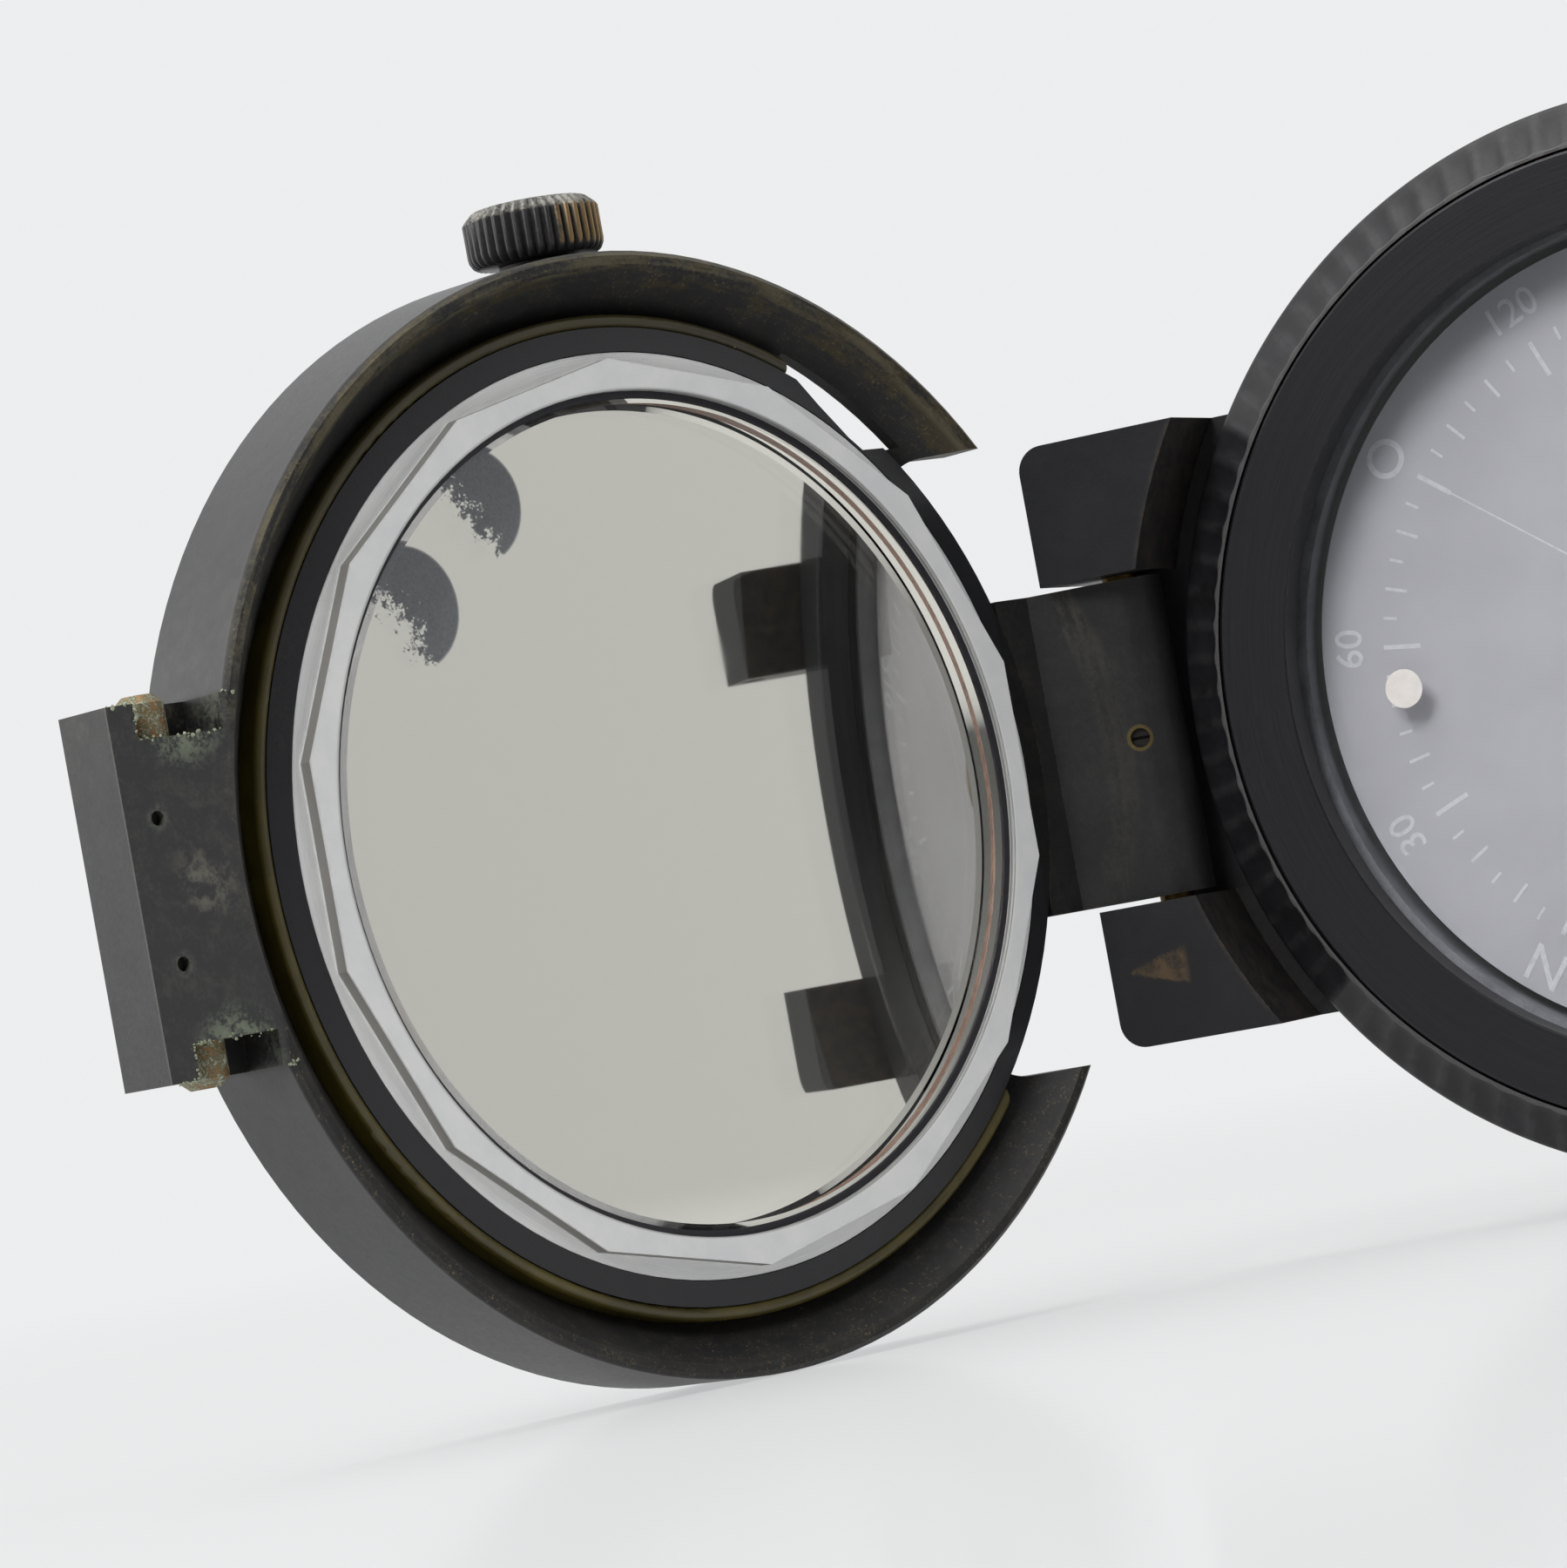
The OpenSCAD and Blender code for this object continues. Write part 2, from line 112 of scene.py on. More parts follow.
class Field:
    """A number that shader nodes work out at each point of a surface."""

    def __init__(self, tree, socket):
        self.tree = tree
        self.socket = socket

    def math(self, operation, *others):
        node = self.tree.nodes.new("ShaderNodeMath")
        node.operation = operation
        for slot, value in zip(node.inputs, (self, *others)):
            feed(self.tree, value, slot)
        return Field(self.tree, node.outputs[0])

    def __add__(self, other):
        return self.math("ADD", other)

    def __sub__(self, other):
        return self.math("SUBTRACT", other)

    def __mul__(self, other):
        return self.math("MULTIPLY", other)

    def __neg__(self):
        return self.math("MULTIPLY", -1.0)

    def flip(self):
        return self.math("MULTIPLY_ADD", -1.0, 1.0)

    def most(self, other):
        return self.math("MAXIMUM", other)

    def size(self):
        return self.math("ABSOLUTE")

    def step(self, low, high):
        """0 below low and 1 above high, with a smooth rise between."""
        node = self.tree.nodes.new("ShaderNodeMapRange")
        node.interpolation_type = "SMOOTHSTEP"
        node.inputs["From Min"].default_value = low
        node.inputs["From Max"].default_value = high
        feed(self.tree, self, node.inputs["Value"])
        return Field(self.tree, node.outputs["Result"])

    def band(self, low, high, soft):
        """1 between low and high, 0 outside, with soft ends."""
        return self.step(low - soft, low + soft) * self.step(high - soft, high + soft).flip()


class Finish:
    """One material. x, y, z, radius and angle are in the frame that it is given, in millimetres."""

    def __init__(self, name, place):
        self.material = bpy.data.materials.new(name)
        self.material.use_nodes = True
        self.tree = self.material.node_tree
        self.shader = self.tree.nodes["Principled BSDF"]
        inverse = place.inverted()
        coords = self.tree.nodes.new("ShaderNodeTexCoord")
        mapping = self.tree.nodes.new("ShaderNodeMapping")
        mapping.inputs["Location"].default_value = inverse.to_translation()
        mapping.inputs["Rotation"].default_value = inverse.to_3x3().normalized().to_euler("XYZ")
        mapping.inputs["Scale"].default_value = (1 / MM,) * 3
        self.tree.links.new(coords.outputs["Object"], mapping.inputs["Vector"])
        self.point = mapping.outputs["Vector"]
        split = self.tree.nodes.new("ShaderNodeSeparateXYZ")
        self.tree.links.new(self.point, split.inputs[0])
        self.x, self.y, self.z = (Field(self.tree, s) for s in split.outputs)
        self.radius = (self.x * self.x + self.y * self.y).math("SQRT")
        self.angle = self.y.math("ARCTAN2", self.x)

    def around(self, radial, along, turn):
        """Coordinates that run round the axis, so that a texture is drawn out along circles."""
        node = self.tree.nodes.new("ShaderNodeCombineXYZ")
        feed(self.tree, self.radius * radial, node.inputs[0])
        feed(self.tree, self.z * along, node.inputs[1])
        feed(self.tree, self.angle * turn, node.inputs[2])
        return node.outputs[0]

    def noise(self, size, seed, detail=4.0, rough=0.55, point=None):
        """Cloudy noise, from about 0.2 to 0.8, with lumps of the given size."""
        node = self.tree.nodes.new("ShaderNodeTexNoise")
        node.noise_dimensions = "4D"
        node.inputs["Scale"].default_value = 1 / size
        node.inputs["W"].default_value = seed * 7.3
        node.inputs["Detail"].default_value = detail
        node.inputs["Roughness"].default_value = rough
        self.tree.links.new(point or self.point, node.inputs["Vector"])
        return Field(self.tree, node.outputs[0])

    def specks(self, spacing, radius, seed, point=None):
        """Small round dots, one to a cell, each of its own size."""
        node = self.tree.nodes.new("ShaderNodeTexVoronoi")
        node.voronoi_dimensions = "4D"
        node.inputs["Scale"].default_value = 1 / spacing
        node.inputs["W"].default_value = seed * 3.1
        self.tree.links.new(point or self.point, node.inputs["Vector"])
        split = self.tree.nodes.new("ShaderNodeSeparateColor")
        self.tree.links.new(node.outputs["Color"], split.inputs[0])
        chance = Field(self.tree, split.outputs[0])
        reach = Field(self.tree, node.outputs["Distance"])
        return (reach - chance * (radius / spacing)).step(-0.04, 0.02).flip() * chance.step(0.45, 0.6)

    def scratches(self, seed, thin=0.018):
        """Fine scratches in many directions."""
        total = None
        for turn in range(3):
            swirl = self.tree.nodes.new("ShaderNodeMapping")
            swirl.inputs["Rotation"].default_value = (0.3 * turn, 0.5, 1.1 * turn + 0.4)
            swirl.inputs["Scale"].default_value = (1.0, 0.05, 1.0)
            self.tree.links.new(self.point, swirl.inputs["Vector"])
            lines = self.noise(0.5, seed + turn, 2.0, 0.5, swirl.outputs["Vector"])
            line = (lines - 0.5).size().step(0.0, thin).flip()
            broken = self.noise(3.0, seed + turn + 5, 2.0).step(0.52, 0.62)
            total = line * broken if total is None else total.most(line * broken)
        return total

    def edges(self, width):
        """1 on sharp outer and inner edges, 0 on flat faces."""
        bevel = self.tree.nodes.new("ShaderNodeBevel")
        bevel.samples = 6
        bevel.inputs["Radius"].default_value = width * MM
        geometry = self.tree.nodes.new("ShaderNodeNewGeometry")
        dot = self.tree.nodes.new("ShaderNodeVectorMath")
        dot.operation = "DOT_PRODUCT"
        self.tree.links.new(bevel.outputs["Normal"], dot.inputs[0])
        self.tree.links.new(geometry.outputs["Normal"], dot.inputs[1])
        return Field(self.tree, dot.outputs["Value"]).flip().step(0.02, 0.14)

    def distance(self, x, y, z):
        dx, dy, dz = self.x - x, self.y - y, self.z - z
        return (dx * dx + dy * dy + dz * dz).math("SQRT")

    def mix(self, factor, under, over):
        """The colour under, covered by the colour over where factor is 1."""
        node = self.tree.nodes.new("ShaderNodeMix")
        node.data_type = "RGBA"
        colour_slots = [s for s in node.inputs if s.type == "RGBA"]
        feed(self.tree, factor, node.inputs[0])
        feed(self.tree, under, colour_slots[0])
        feed(self.tree, over, colour_slots[1])
        return Field(self.tree, [s for s in node.outputs if s.type == "RGBA"][0])

    def set(self, colour, rough=0.5, metal=0.0, bump=None, depth=0.02, **plain):
        """Feeds the shader. depth is the height of the bump in millimetres, and plain holds uniform sockets."""
        feed(self.tree, colour, self.shader.inputs["Base Color"])
        feed(self.tree, rough, self.shader.inputs["Roughness"])
        feed(self.tree, metal, self.shader.inputs["Metallic"])
        for socket, value in plain.items():
            self.shader.inputs[socket.replace("_", " ")].default_value = value
        if bump is not None:
            node = self.tree.nodes.new("ShaderNodeBump")
            node.inputs["Strength"].default_value = 1.0
            node.inputs["Distance"].default_value = depth * MM
            feed(self.tree, bump, node.inputs["Height"])
            self.tree.links.new(node.outputs["Normal"], self.shader.inputs["Normal"])
        return self.material


BLACK = rgb(30, 30, 31)
DUST = rgb(150, 142, 124)
BRASS = rgb(168, 132, 74)
OLD_BRASS = rgb(96, 84, 52)
VERDIGRIS = rgb(140, 150, 128)
BROWN_DUST = rgb(86, 74, 60)


def lid_paint():
    """Black paint on the lid: rubbed to dull brass on the rim, dusty, and corroded at the plungers."""
    f = Finish("lid_paint", LID)
    cloud = f.noise(3.4, 1, 6.0, 0.62)
    mottle = f.noise(1.1, 2, 6.0, 0.66)
    fine = f.noise(0.22, 3, 4.0, 0.6)
    streak = f.noise(0.9, 4, 5.0, 0.6, f.around(1.6, 1.6, 6.0))
    front = f.z.step(-3.5, -3.1)
    cone = front * f.radius.step(27.5, 27.8) * f.radius.step(30.86, 30.98).flip() * f.x.step(25.5, 25.7).flip()
    land = f.radius.band(29.9, 30.95, 0.18) * f.z.step(-0.7, -0.4)
    upper = f.y.step(2.0, 20.0)
    horn = f.x.step(8.0, 21.0)
    block = f.x.step(-29.6, -29.2).flip() * f.y.size().step(9.9, 10.1).flip()
    flange = f.radius.step(27.25, 27.4).flip() * f.x.step(25.2, 25.7).flip()
    tab = f.x.step(25.3, 26.2) * f.y.size().step(9.2, 9.4).flip()

    colour = f.mix(cloud.step(0.4, 0.7), rgb(28, 28, 29), rgb(36, 36, 36))
    haze = (mottle * 0.6 + fine * 0.4).step(0.46, 0.66)
    near_block = f.distance(-30.0, 12.0, -3.5).step(3.0, 11.0).flip()
    colour = f.mix(haze * (near_block * 0.4 + 0.04), colour, rgb(104, 100, 84))
    outer = f.radius.step(28.2, 30.2)
    worn = upper * (outer * 0.55 + 0.3) + horn * outer * 0.3
    rubbed = (streak * 0.45 + mottle * 0.35 + worn * 0.2).step(0.53, 0.62) * cone * upper.step(0.0, 0.4)
    colour = f.mix(rubbed * 0.7, colour, rgb(72, 64, 44))
    bare_land = land * (streak * 0.7 + fine * 0.3).step(0.4, 0.6) * (upper * 0.7 + 0.1)
    colour = f.mix(bare_land * 0.7, colour, rgb(108, 102, 82))
    lower_dust = cone * upper.flip() * f.noise(0.45, 6, 5.0, 0.7).step(0.52, 0.72)
    colour = f.mix(lower_dust * 0.3, colour, BROWN_DUST)
    grains = f.noise(0.16, 9, 3.0, 0.6).step(0.56, 0.66) * mottle.step(0.42, 0.6) * cone
    colour = f.mix(grains * (outer * 0.5 + 0.2), colour, rgb(112, 98, 72))
    colour = f.mix(flange * 0.75, colour, rgb(44, 44, 47))
    tab_dust = tab * f.x.band(25.4, 27.6, 0.5) * (mottle * 0.5 + fine * 0.5).step(0.44, 0.66)
    colour = f.mix(tab_dust * 0.4, colour, rgb(56, 50, 44))
    on_block = block * f.z.step(-0.2, -0.1)
    stain = f.distance(-32.6, 0.2, 0.0).step(0.6, 2.6).flip() * mottle.step(0.44, 0.6)
    # Painted light: the latch block's face is painted grey for the light falling on it from the left. The pale stain
    # mixed over it on the next line is a real stain.
    colour = f.mix(on_block * 0.6, colour, rgb(66, 66, 67))
    colour = f.mix(on_block * (stain * 0.5 + haze * 0.12), colour, rgb(128, 126, 112))
    # Painted light: the lid's outer wall is painted a mottled grey that stands in for the light falling on it from the
    # left.
    wall = f.radius.step(30.9, 30.97) * block.flip() * f.x.step(25.5, 25.7).flip()
    colour = f.mix(wall * (mottle * 0.4 + 0.45), colour, rgb(72, 72, 73))
    crust = None
    for y in (8.9, -8.9):
        spot = f.distance(-32.4, y, -0.4).step(1.3, 3.3).flip() * (mottle * 0.55 + fine * 0.45).step(0.44, 0.56)
        crust = spot if crust is None else crust.most(spot)
    for y in (3.8, -3.8):
        halo = f.distance(-34.9, y, 0.0).step(0.4, 0.9).flip() * fine.step(0.35, 0.6) * 0.35
        crust = crust.most(halo)
    colour = f.mix(crust * 0.6, colour, VERDIGRIS)
    hole = f.distance(31.12, 0.0, 2.43).band(0.3, 0.76, 0.05) * fine.step(0.2, 0.4)
    edge = f.edges(0.2) * fine.step(0.42, 0.6)
    bare = (edge * 0.35 * flange.flip()).most(hole * 0.9)
    colour = f.mix(bare, colour, OLD_BRASS)
    dots = f.specks(0.9, 0.08, 8) * (cone * 0.7 + near_block * 0.5 + 0.06)
    colour = f.mix(dots, colour, DUST)
    rough = (fine - 0.5) * 0.25 + crust * 0.3 + cone * 0.1 + flange * -0.12 + 0.44
    metal = bare * 0.7 + rubbed * 0.35
    bump = fine * 0.35 + mottle * 0.4 + crust * 1.4 + dots * 0.8
    return f.set(colour, rough, metal, bump, 0.03, Specular_IOR_Level=0.36)


def case_paint():
    """Black paint on the case, brown with dust on the wall turned into the ears."""
    f = Finish("case_paint", CASE)
    cloud = f.noise(4.0, 21, 5.0, 0.6)
    mottle = f.noise(1.2, 22, 6.0, 0.65)
    fine = f.noise(0.25, 23, 4.0, 0.6)
    ear_wall = f.z.step(9.2, 9.5) * f.radius.step(31.9, 32.1).flip()
    colour = f.mix(cloud.step(0.4, 0.7), rgb(24, 24, 27), rgb(30, 30, 33))
    colour = f.mix(ear_wall * (mottle * 0.6 + fine * 0.4).step(0.38, 0.62) * 0.5, colour, rgb(64, 55, 46))
    wedge = ((f.y + 13.1).size() - (f.x + 35.2) * 0.3 + (fine - 0.5) * 0.6).step(-0.1, 0.15).flip()
    worn_ear = wedge * f.x.step(-35.2, -34.9) * f.x.step(-31.9, -31.4).flip() * f.z.step(15.5, 15.8)
    edge = f.edges(0.18) * (mottle * 0.5 + fine * 0.5).step(0.5, 0.66)
    bare = (edge * 0.4).most(worn_ear * mottle.step(0.3, 0.6) * 0.6)
    colour = f.mix(bare, colour, rgb(112, 92, 66))
    dots = f.specks(1.6, 0.07, 28) * 0.35
    colour = f.mix(dots, colour, DUST)
    rough = (fine - 0.5) * 0.2 + ear_wall * 0.2 + 0.42
    return f.set(colour, rough, bare * 0.7, fine * 0.3 + mottle * 0.4 + dots, 0.025, Specular_IOR_Level=0.34)


def cover_paint():
    """Black paint on the back cover, with rings left by the lathe and rubbing marks."""
    f = Finish("cover_paint", CASE)
    fine = f.noise(0.25, 33, 4.0, 0.6)
    rings = (f.radius * 9.0).math("SINE") * 0.5 + f.noise(0.6, 34, 3.0, 0.5, f.around(3.0, 1.0, 0.5))
    rub = f.scratches(35)
    worn = f.radius.step(19.0, 24.0) * f.noise(1.6, 36, 6.0, 0.65).step(0.5, 0.64)
    colour = f.mix(worn * 0.5, rgb(38, 38, 40), OLD_BRASS)
    colour = f.mix(rub * 0.1, colour, rgb(120, 112, 92))
    return f.set(colour, (fine - 0.5) * 0.25 + 0.4, worn * 0.4, rings * 0.25 + rub * -0.12, 0.015)


def ring_finish():
    """Black anodised aluminium of the flat ring that frames the dial."""
    f = Finish("ring_finish", CASE)
    turned = f.noise(0.25, 41, 3.0, 0.5, f.around(2.0, 2.0, 1.0))
    fine = f.noise(0.2, 42, 4.0, 0.6)
    dots = f.specks(2.2, 0.08, 43)
    edge = f.edges(0.12) * fine.step(0.4, 0.6)
    colour = f.mix(turned.step(0.35, 0.7), rgb(20, 20, 24), rgb(25, 25, 29))
    colour = f.mix(edge * 0.25, colour, rgb(100, 100, 108))
    colour = f.mix(dots * 0.3, colour, DUST)
    return f.set(colour, (fine - 0.5) * 0.12 + turned * 0.1 + 0.36, 0.0, turned + dots, 0.008, Specular_IOR_Level=0.36)


def bezel_finish():
    """Black paint of the ribbed bezel, rubbed grey and brassy on the ribs."""
    f = Finish("bezel_finish", CASE)
    fine = f.noise(0.2, 51, 4.0, 0.6)
    mottle = f.noise(1.4, 52, 5.0, 0.6)
    rib = (f.angle * BEZEL_RIBS).math("COSINE").step(0.1, 1.0)
    cone = f.z.step(10.6, 11.1)
    colour = f.mix(mottle.step(0.35, 0.7), rgb(24, 24, 26), rgb(32, 31, 34))
    top_land = f.radius.step(28.0, 28.1).flip() * f.z.step(12.7, 12.8)
    colour = f.mix(rib * cone * mottle.step(0.35, 0.6) * 0.25, colour, rgb(66, 65, 66))
    colour = f.mix(top_land * 0.4, colour, rgb(112, 110, 110))
    bare = f.edges(0.15) * fine.step(0.45, 0.62) * 0.4
    colour = f.mix(bare, colour, rgb(116, 104, 84))
    rough = (fine - 0.5) * 0.2 + 0.46
    return f.set(colour, rough, bare * 0.6, fine * 0.4 + mottle * 0.4, 0.02, Specular_IOR_Level=0.32)


def knob_finish():
    """Black paint of the knurled knob, worn to brass on its ribs and chamfer."""
    f = Finish("knob_finish", LID @ Matrix.Translation((0, 0, KNOB_HEIGHT)) @ Matrix.Rotation(-math.pi / 2, 4, "X"))
    fine = f.noise(0.2, 61, 4.0, 0.6)
    patch = f.noise(1.5, 62, 4.0, 0.6)
    crest = f.radius.step(KNOB_RADIUS - 0.16, KNOB_RADIUS - 0.02)
    chamfer = f.z.band(KNOB_TOP - 0.62, KNOB_TOP + 0.1, 0.06) * f.radius.step(2.9, 3.1)
    well_rubbed = f.angle.band(-1.9, -0.6, 0.25)
    bare = crest * (patch * 0.5 + fine * 0.3 + well_rubbed * 0.36).step(0.54, 0.7)
    colour = f.mix(fine.step(0.35, 0.7), rgb(38, 37, 39), rgb(52, 50, 50))
    colour = f.mix(bare * 0.9, colour, rgb(150, 124, 82))
    colour = f.mix(chamfer * fine.step(0.35, 0.55) * 0.6, colour, rgb(150, 148, 138))
    rough = (fine - 0.5) * 0.25 + 0.4
    metal = bare * 0.7 + chamfer * 0.4
    return f.set(colour, rough, metal, fine * 0.5 + patch * 0.3, 0.02)


def satin_aluminium():
    """Blasted aluminium of the mirror's lock ring, with turning marks on its lower flange."""
    f = Finish("satin_aluminium", LID)
    grain = f.noise(0.07, 71, 3.0, 0.6)
    cloud = f.noise(2.5, 72, 4.0, 0.6)
    turned = f.noise(0.12, 73, 3.0, 0.5, f.around(3.0, 3.0, 0.8))
    flange = f.z.step(-1.3, -1.2).flip()
    thread = (f.z * (TAU / 0.34)).math("SINE") * f.radius.step(23.35, 23.45).flip()
    wall = f.z.band(-1.32, -0.52, 0.04) * f.radius.step(24.0, 24.2)
    dirt = f.edges(0.14) * f.noise(0.5, 74, 4.0, 0.6).step(0.4, 0.65)
    colour = f.mix(cloud.step(0.3, 0.75), rgb(228, 229, 229), rgb(238, 238, 236))
    colour = f.mix(flange * turned.step(0.4, 0.65) * 0.5, colour, rgb(246, 246, 244))
    # Painted shade: the step wall between the raised plate and the lower flange is painted dark all round.
    colour = f.mix(wall * 0.75, colour, rgb(86, 80, 68))
    colour = f.mix(dirt * 0.25, colour, rgb(110, 106, 96))
    colour = f.mix(f.radius.step(23.3, 23.42).flip() * 0.55, colour, rgb(84, 84, 74))
    colour = f.mix(f.specks(1.2, 0.06, 75) * 0.4, colour, rgb(100, 96, 86))
    rough = grain * 0.15 + flange * -0.06 + 0.42
    return f.set(colour, rough, 0.12, grain * 0.6 + flange * turned * 1.6 + thread * 2.5, 0.012)


def mirror_silver():
    """Silvering behind the glass, with two half-moon patches and pinholes where it has gone."""
    f = Finish("mirror_silver", LID)
    ragged = f.noise(0.7, 81, 6.0, 0.75)
    fine = f.noise(0.16, 82, 4.0, 0.7)
    gone = None
    for x, y, reach in ((-9.8, 18.1, 3.2), (-15.4, 13.0, 3.4)):
        spot = f.distance(x, y, MIRROR_BACK)
        side = ((f.x - x) * 0.82 + (f.y - y) * 0.57)
        solid = (spot - reach).step(-0.12, 0.1).flip()
        keep = (ragged * 0.7 + fine * 0.3 + side * 0.09).step(0.42, 0.47)
        patch = solid * keep
        gone = patch if gone is None else gone.most(patch)
    pinholes = f.specks(5.0, 0.09, 84)
    gone = gone.most(pinholes * 0.8)
    colour = f.mix(gone, rgb(246, 241, 231), f_grey(f, fine))
    metal = gone.flip()
    return f.set(colour, gone * 0.5 + 0.012, metal)


def f_grey(f, fine):
    """Grey backing paint that shows where the silvering has gone."""
    return f.mix(fine.step(0.3, 0.7), rgb(104, 106, 112), rgb(126, 127, 132))


def clear_glass(name, place, seed):
    """Clear glass that lets light through to what lies behind it, with a few dust specks."""
    f = Finish(name, place)
    dust = f.specks(2.6, 0.07, seed)
    smear = f.noise(6.0, seed + 1, 3.0, 0.5).step(0.45, 0.8)
    f.set(rgb(250, 252, 252), smear * 0.03 + dust * 0.3 + 0.01, 0.0, Transmission_Weight=1.0, IOR=1.47)
    nodes, links = f.tree.nodes, f.tree.links
    path = nodes.new("ShaderNodeLightPath")
    clear = nodes.new("ShaderNodeBsdfTransparent")
    either = nodes.new("ShaderNodeMixShader")
    links.new(path.outputs["Is Shadow Ray"], either.inputs[0])
    links.new(f.shader.outputs[0], either.inputs[1])
    links.new(clear.outputs[0], either.inputs[2])
    links.new(either.outputs[0], nodes["Material Output"].inputs["Surface"])
    return f.material


def dial_paint():
    """Matt grey paint of the compass card."""
    f = Finish("dial_paint", CASE)
    grain = f.noise(0.15, 91, 3.0, 0.6)
    cloud = f.noise(7.0, 92, 3.0, 0.5)
    colour = f.mix(cloud.step(0.3, 0.7), rgb(164, 162, 168), rgb(171, 169, 175))
    colour = f.mix(grain.step(0.55, 0.75) * 0.2, colour, rgb(144, 142, 146))
    return f.set(colour, grain * 0.1 + 0.55, 0.0, grain, 0.004)


def mark_paint():
    """Pale print on the compass card, a little thin in places."""
    f = Finish("mark_paint", CASE)
    thin = f.noise(0.3, 95, 4.0, 0.6)
    colour = f.mix(thin.step(0.4, 0.7), rgb(198, 198, 203), rgb(184, 184, 189))
    return f.set(colour, thin * 0.1 + 0.5, 0.0, thin, 0.003)


def simple_finish(name, place, low, high, size, seed, rough, metal, depth=0.02, **plain):
    """Two close colours in a cloudy mix, with matching roughness and bump."""
    f = Finish(name, place)
    cloud = f.noise(size, seed, 5.0, 0.62)
    fine = f.noise(size * 0.15, seed + 1, 3.0, 0.6)
    colour = f.mix((cloud * 0.7 + fine * 0.3).step(0.35, 0.65), low, high)
    return f.set(colour, (cloud - 0.5) * 0.25 + rough, metal, cloud * 0.5 + fine * 0.5, depth, **plain)


def seal_rubber():
    """Old olive-brown sealing ring, shiny, with grit stuck to it."""
    f = Finish("seal_rubber", LID)
    cloud = f.noise(2.0, 101, 5.0, 0.6, f.around(0.6, 0.6, 8.0))
    fine = f.noise(0.2, 102, 4.0, 0.6)
    grit = f.specks(1.3, 0.11, 103)
    colour = f.mix(cloud.step(0.35, 0.68), rgb(64, 56, 18), rgb(92, 82, 30))
    # Painted shade: the ring is painted darker towards the top, where less light falls on it.
    colour = f.mix(f.y.step(8.0, 26.0) * 0.7, colour, rgb(42, 37, 18))
    colour = f.mix(grit * 0.6, colour, rgb(140, 130, 96))
    return f.set(colour, fine * 0.2 + 0.28, 0.0, fine * 0.5 + grit, 0.02, Specular_IOR_Level=0.6)


def corroded_brass():
    """Plunger brass with green and white corrosion."""
    f = Finish("corroded_brass", LID)
    lump = f.noise(0.5, 111, 6.0, 0.7)
    fine = f.noise(0.12, 112, 4.0, 0.6)
    colour = f.mix(lump.step(0.35, 0.55), rgb(150, 112, 78), rgb(124, 114, 78))
    growth = (lump * 0.5 + fine * 0.5).step(0.47, 0.57)
    colour = f.mix(growth * 0.8, colour, rgb(168, 174, 156))
    return f.set(colour, growth * 0.35 + 0.38, growth.flip() * 0.75, lump + growth, 0.05)


def card_fabric():
    """Felt pad behind the mirror."""
    f = Finish("felt", LID)
    fibre = f.noise(0.12, 121, 5.0, 0.75)
    colour = f.mix(fibre.step(0.3, 0.7), rgb(72, 60, 48), rgb(104, 88, 70))
    return f.set(colour, 0.95, 0.0, fibre, 0.08, Sheen_Weight=0.3)


# ------------------------------------------------------------------- meshes

def add_piece(name, mesh, material, body, smooth=35):
    """Puts a finished mesh into the scene as a piece that rides on a body."""
    mesh.materials.append(material)
    mesh.shade_smooth()
    mesh.set_sharp_from_angle(angle=math.radians(smooth))
    piece = bpy.data.objects.new(name, mesh)
    bpy.context.scene.collection.objects.link(piece)
    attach(piece, body)
    return piece


def mesh_from(name, verts, faces, place):
    """A mesh from millimetre points, with doubled points merged and faces turned outwards."""
    shape = bmesh.new()
    corners = [shape.verts.new(place @ Vector(v)) for v in verts]
    for face in faces:
        shape.faces.new([corners[i] for i in face])
    bmesh.ops.remove_doubles(shape, verts=shape.verts, dist=0.0005 * MM)
    bmesh.ops.dissolve_degenerate(shape, edges=shape.edges, dist=0.0001 * MM)
    bmesh.ops.recalc_face_normals(shape, faces=shape.faces)
    mesh = bpy.data.meshes.new(name)
    shape.to_mesh(mesh)
    shape.free()
    return mesh


def turned(name, profile, place, segments=256, wave=None):
    """A closed profile of (radius, height) points turned about the z axis. wave reshapes the radius."""
    verts, faces = [], []
    count = len(profile)
    for k in range(segments):
        angle = TAU * k / segments
        for radius, height in profile:
            r = wave(radius, height, angle) if wave else radius
            verts.append((r * math.cos(angle), r * math.sin(angle), height))
    for k in range(segments):
        after = (k + 1) % segments
        for i in range(count):
            j = (i + 1) % count
            faces.append((k * count + i, after * count + i, after * count + j, k * count + j))
    return mesh_from(name, verts, faces, place)


def bezel_wave(radius, height, angle):
    """Shallow rounded flutes round the bezel's cone, which run out before its outer edge."""
    if radius < 27.95 or height < 11.1:
        return radius
    flute = 0.5 - 0.5 * math.cos(angle * BEZEL_RIBS)
    reach = min(1.0, (30.15 - radius) / 0.6, 0.35 + (radius - 27.95) / 0.6)
    return radius - BEZEL_RIB_DEPTH * max(0.0, reach) * (1 - (1 - flute) ** 1.6)


def make_bezel(material):
    profile = [
        (26.45, 9.55), (30.2, 9.55), (30.4, 9.72), (30.4, 9.85), (30.4, 10.1), (30.4, 10.9),
        (30.3, 11.05), (30.15, 11.17), (29.8, 11.44), (29.4, 11.74), (28.9, 12.11), (28.5, 12.41),
        (28.2, 12.64), (28.08, 12.76), (27.98, 12.84), (27.75, 12.84), (27.75, 11.5), (26.45, 11.5),
    ]
    mesh = turned("bezel_ribbed", profile, CASE, BEZEL_RIBS * 10, bezel_wave)
    piece = add_piece("bezel_ribbed", mesh, material, "bezel", 45)
    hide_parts("bezel_ring")


